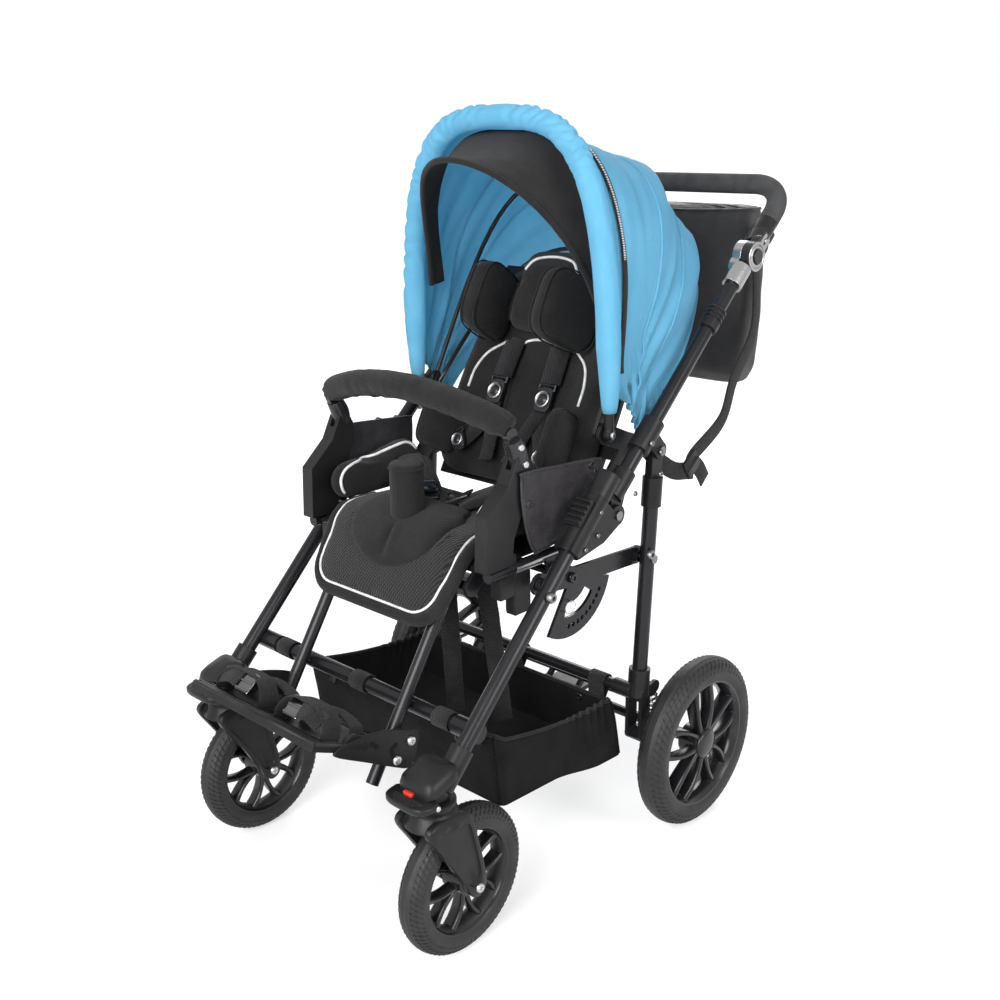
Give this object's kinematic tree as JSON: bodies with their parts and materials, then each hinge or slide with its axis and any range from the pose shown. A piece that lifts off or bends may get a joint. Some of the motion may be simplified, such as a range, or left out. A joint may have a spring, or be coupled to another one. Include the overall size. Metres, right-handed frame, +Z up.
{
  "type": "special needs buggy",
  "caption": "Folding special needs buggy with tilting padded seat, reclining back, hood, swivel front wheels, hinged push handle, legrest and bag.",
  "frame": {"origin": "on the floor, in the middle of the part across its width and its length", "axes": "+Z up, -Y forward (the way the seated child faces), +X to the left of the seated child"},
  "size_m": [0.663, 1.0556, 1.1968],
  "materials": {
    "frame_paint": "satin black",
    "black_plastic": "fine grain",
    "gloss_black": "gloss",
    "tyre": "matt",
    "steel": "brushed",
    "chrome": "polished",
    "hinge_alloy": "polished",
    "grip_foam": "foam",
    "black_fabric": "woven",
    "blue_fabric": "woven"
  },
  "bodies": {
    "rear_frame": {"rear_legs": "frame_paint", "leg_tops": "black_plastic", "rear_crossbar": "frame_paint", "axle_brackets": "black_plastic", "link_bolts": "steel", "basket": "black_fabric", "suspension_springs": "chrome"},
    "rear_axle": {"rear_axle": "frame_paint"},
    "brake": {"brake_bar": "black_plastic"},
    "rear_wheel_left": {"rear_rim_left": "gloss_black", "rear_tyre_left": "tyre"},
    "rear_wheel_right": {"rear_rim_right": "gloss_black", "rear_tyre_right": "tyre"},
    "handle_frame": {"upper_tubes": "frame_paint", "knuckle_uppers": "black_plastic", "tube_brackets": "black_plastic", "fold_pins": "steel", "hinge_lowers": "hinge_alloy", "bag": "black_fabric"},
    "push_handle": {"handle_tube": "frame_paint", "handle_grip": "grip_foam", "hinge_uppers": "hinge_alloy"},
    "hinge_button_left": {"hinge_button_left": "black_plastic"},
    "hinge_button_right": {"hinge_button_right": "black_plastic"},
    "front_frame": {"front_tubes": "frame_paint", "knuckle_lowers": "black_plastic", "front_crossbar": "frame_paint", "caster_housings": "black_plastic"},
    "fold_slider_left": {"fold_slider_left": "black_plastic"},
    "fold_slider_right": {"fold_slider_right": "black_plastic"},
    "caster_left": {"fork_left": "black_plastic"},
    "caster_right": {"fork_right": "black_plastic"},
    "front_wheel_left": {"front_rim_left": "gloss_black", "front_tyre_left": "tyre"},
    "front_wheel_right": {"front_rim_right": "gloss_black", "front_tyre_right": "tyre"},
    "swivel_lock_left": {"swivel_lock_left": "black_plastic"},
    "swivel_lock_right": {"swivel_lock_right": "black_plastic"},
    "tilt_frame": {"tilt_plates": "frame_paint"},
    "seat": {"seat_frame": "frame_paint", "armrest_posts": "black_plastic", "seat_cushion": "black_fabric", "hip_pads": "black_fabric", "side_panels": "black_fabric"},
    "tilt_lever": {"tilt_lever": "steel"},
    "pommel": {"pommel": "black_fabric"},
    "bumper": {"bumper_ends": "gloss_black", "bumper_bar": "black_fabric"},
    "backrest": {"back_frame": "black_plastic", "back_cushion": "black_fabric", "harness": "black_fabric", "canopy_cover": "blue_fabric"},
    "headrest": {"headrest": "black_fabric"},
    "canopy_rim": {"canopy_rim": "blue_fabric", "visor": "black_fabric"},
    "canopy_rib": {"canopy_rib": "gloss_black"},
    "legrest": {"legrest": "frame_paint", "calf_pad": "black_fabric"},
    "footplate": {"footplate": "black_plastic", "foot_straps": "black_fabric"}
  },
  "joints": [
    {"name": "frame_fold", "type": "hinge", "parent": "handle_frame", "child": "front_frame", "pos_m": [0, -0.0199, 0.598], "axis": [1, 0, 0], "range_deg": [0, 66], "deforming": ["basket"]},
    {"name": "handle_fold", "type": "hinge", "parent": "rear_frame", "child": "handle_frame", "pos_m": [0, 0.0941, 0.676], "axis": [1, 0, 0], "range_deg": [-46, 0]},
    {"name": "seat_link", "type": "hinge", "parent": "rear_frame", "child": "tilt_frame", "pos_m": [0, 0.08253, 0.497], "axis": [1, 0, 0], "range_deg": [-14.5, 0]},
    {"name": "suspension", "type": "hinge", "parent": "rear_frame", "child": "rear_axle", "pos_m": [0, 0.0671, 0.186], "axis": [1, 0, 0], "range_deg": [0, 6], "stiffness_Nm_per_rad": 2500, "springref_deg": -3.44, "deforming": ["suspension_springs"]},
    {"name": "brake", "type": "hinge", "parent": "rear_axle", "child": "brake", "pos_m": [0, 0.1671, 0.15], "axis": [-1, 0, 0], "range_deg": [0, 20]},
    {"name": "rear_wheel_left", "type": "hinge", "parent": "rear_axle", "child": "rear_wheel_left", "pos_m": [0, 0.1671, 0.15], "axis": [1, 0, 0], "continuous": true},
    {"name": "rear_wheel_right", "type": "hinge", "parent": "rear_axle", "child": "rear_wheel_right", "pos_m": [0, 0.1671, 0.15], "axis": [1, 0, 0], "continuous": true},
    {"name": "handle_angle", "type": "hinge", "parent": "handle_frame", "child": "push_handle", "pos_m": [0, 0.34452, 0.95586], "axis": [1, 0, 0], "range_deg": [0, 45]},
    {"name": "hinge_button_left", "type": "slide", "parent": "push_handle", "child": "hinge_button_left", "axis": [-1, 0, 0], "range_m": [0, 0.003], "stiffness_N_per_m": 400},
    {"name": "hinge_button_right", "type": "slide", "parent": "push_handle", "child": "hinge_button_right", "axis": [1, 0, 0], "range_m": [0, 0.003], "stiffness_N_per_m": 400},
    {"name": "fold_slider_left", "type": "slide", "parent": "front_frame", "child": "fold_slider_left", "axis": [0, -0.7059, -0.7083], "range_m": [0, 0.014], "stiffness_N_per_m": 300},
    {"name": "fold_slider_right", "type": "slide", "parent": "front_frame", "child": "fold_slider_right", "axis": [0, -0.7059, -0.7083], "range_m": [0, 0.014], "stiffness_N_per_m": 300},
    {"name": "caster_swivel_left", "type": "hinge", "parent": "front_frame", "child": "caster_left", "pos_m": [0.245, -0.3999, 0.275], "axis": [0, 0, 1], "continuous": true},
    {"name": "front_wheel_left", "type": "hinge", "parent": "caster_left", "child": "front_wheel_left", "pos_m": [0.245, -0.3489, 0.116], "axis": [1, 0, 0], "continuous": true},
    {"name": "swivel_lock_left", "type": "hinge", "parent": "front_frame", "child": "swivel_lock_left", "pos_m": [0.245, -0.4304, 0.2837], "axis": [1, 0, 0], "range_deg": [0, 14]},
    {"name": "caster_swivel_right", "type": "hinge", "parent": "front_frame", "child": "caster_right", "pos_m": [-0.245, -0.3999, 0.275], "axis": [0, 0, 1], "continuous": true},
    {"name": "front_wheel_right", "type": "hinge", "parent": "caster_right", "child": "front_wheel_right", "pos_m": [-0.245, -0.3489, 0.116], "axis": [1, 0, 0], "continuous": true},
    {"name": "swivel_lock_right", "type": "hinge", "parent": "front_frame", "child": "swivel_lock_right", "pos_m": [-0.245, -0.4304, 0.2837], "axis": [1, 0, 0], "range_deg": [0, 14]},
    {"name": "seat_tilt", "type": "hinge", "parent": "tilt_frame", "child": "seat", "pos_m": [0, -0.0859, 0.507], "axis": [1, 0, 0], "range_deg": [-8, 0]},
    {"name": "tilt_lever", "type": "hinge", "parent": "seat", "child": "tilt_lever", "pos_m": [0, -0.1779, 0.521], "axis": [1, 0, 0], "range_deg": [0, 12], "stiffness_Nm_per_rad": 1.2, "springref_deg": -5.73},
    {"name": "pommel_lift", "type": "slide", "parent": "seat", "child": "pommel", "axis": [0, 0, 1], "range_m": [0, 0.06]},
    {"name": "bumper_swing", "type": "hinge", "parent": "seat", "child": "bumper", "pos_m": [0, -0.1669, 0.7], "axis": [1, 0, 0], "range_deg": [0, 54]},
    {"name": "recline", "type": "hinge", "parent": "seat", "child": "backrest", "pos_m": [0, 0.0071, 0.59], "axis": [-1, 0, 0], "range_deg": [-20, 8]},
    {"name": "headrest_slide", "type": "slide", "parent": "backrest", "child": "headrest", "axis": [0, 0.4695, 0.8829], "range_m": [0, 0.05]},
    {"name": "canopy_fold", "type": "hinge", "parent": "backrest", "child": "canopy_rim", "pos_m": [0, 0.0271, 0.706], "axis": [-1, 0, 0], "range_deg": [0, 48], "deforming": ["canopy_cover"]},
    {"name": "canopy_rib_fold", "type": "hinge", "parent": "backrest", "child": "canopy_rib", "pos_m": [0, 0.0271, 0.706], "axis": [-1, 0, 0], "range_deg": [0, 29]},
    {"name": "legrest_swing", "type": "hinge", "parent": "seat", "child": "legrest", "pos_m": [0, -0.2309, 0.515], "axis": [-1, 0, 0], "range_deg": [0, 50]},
    {"name": "footplate_flip", "type": "hinge", "parent": "legrest", "child": "footplate", "pos_m": [0, -0.37321, 0.29502], "axis": [-1, 0, 0], "range_deg": [0, 45]}
  ],
  "couplings": [
    {"joint": "handle_fold", "follows": "frame_fold", "ratio": -0.684},
    {"joint": "seat_link", "follows": "frame_fold", "ratio": -0.211},
    {"joint": "canopy_rib_fold", "follows": "canopy_fold", "ratio": 0.6}
  ]
}
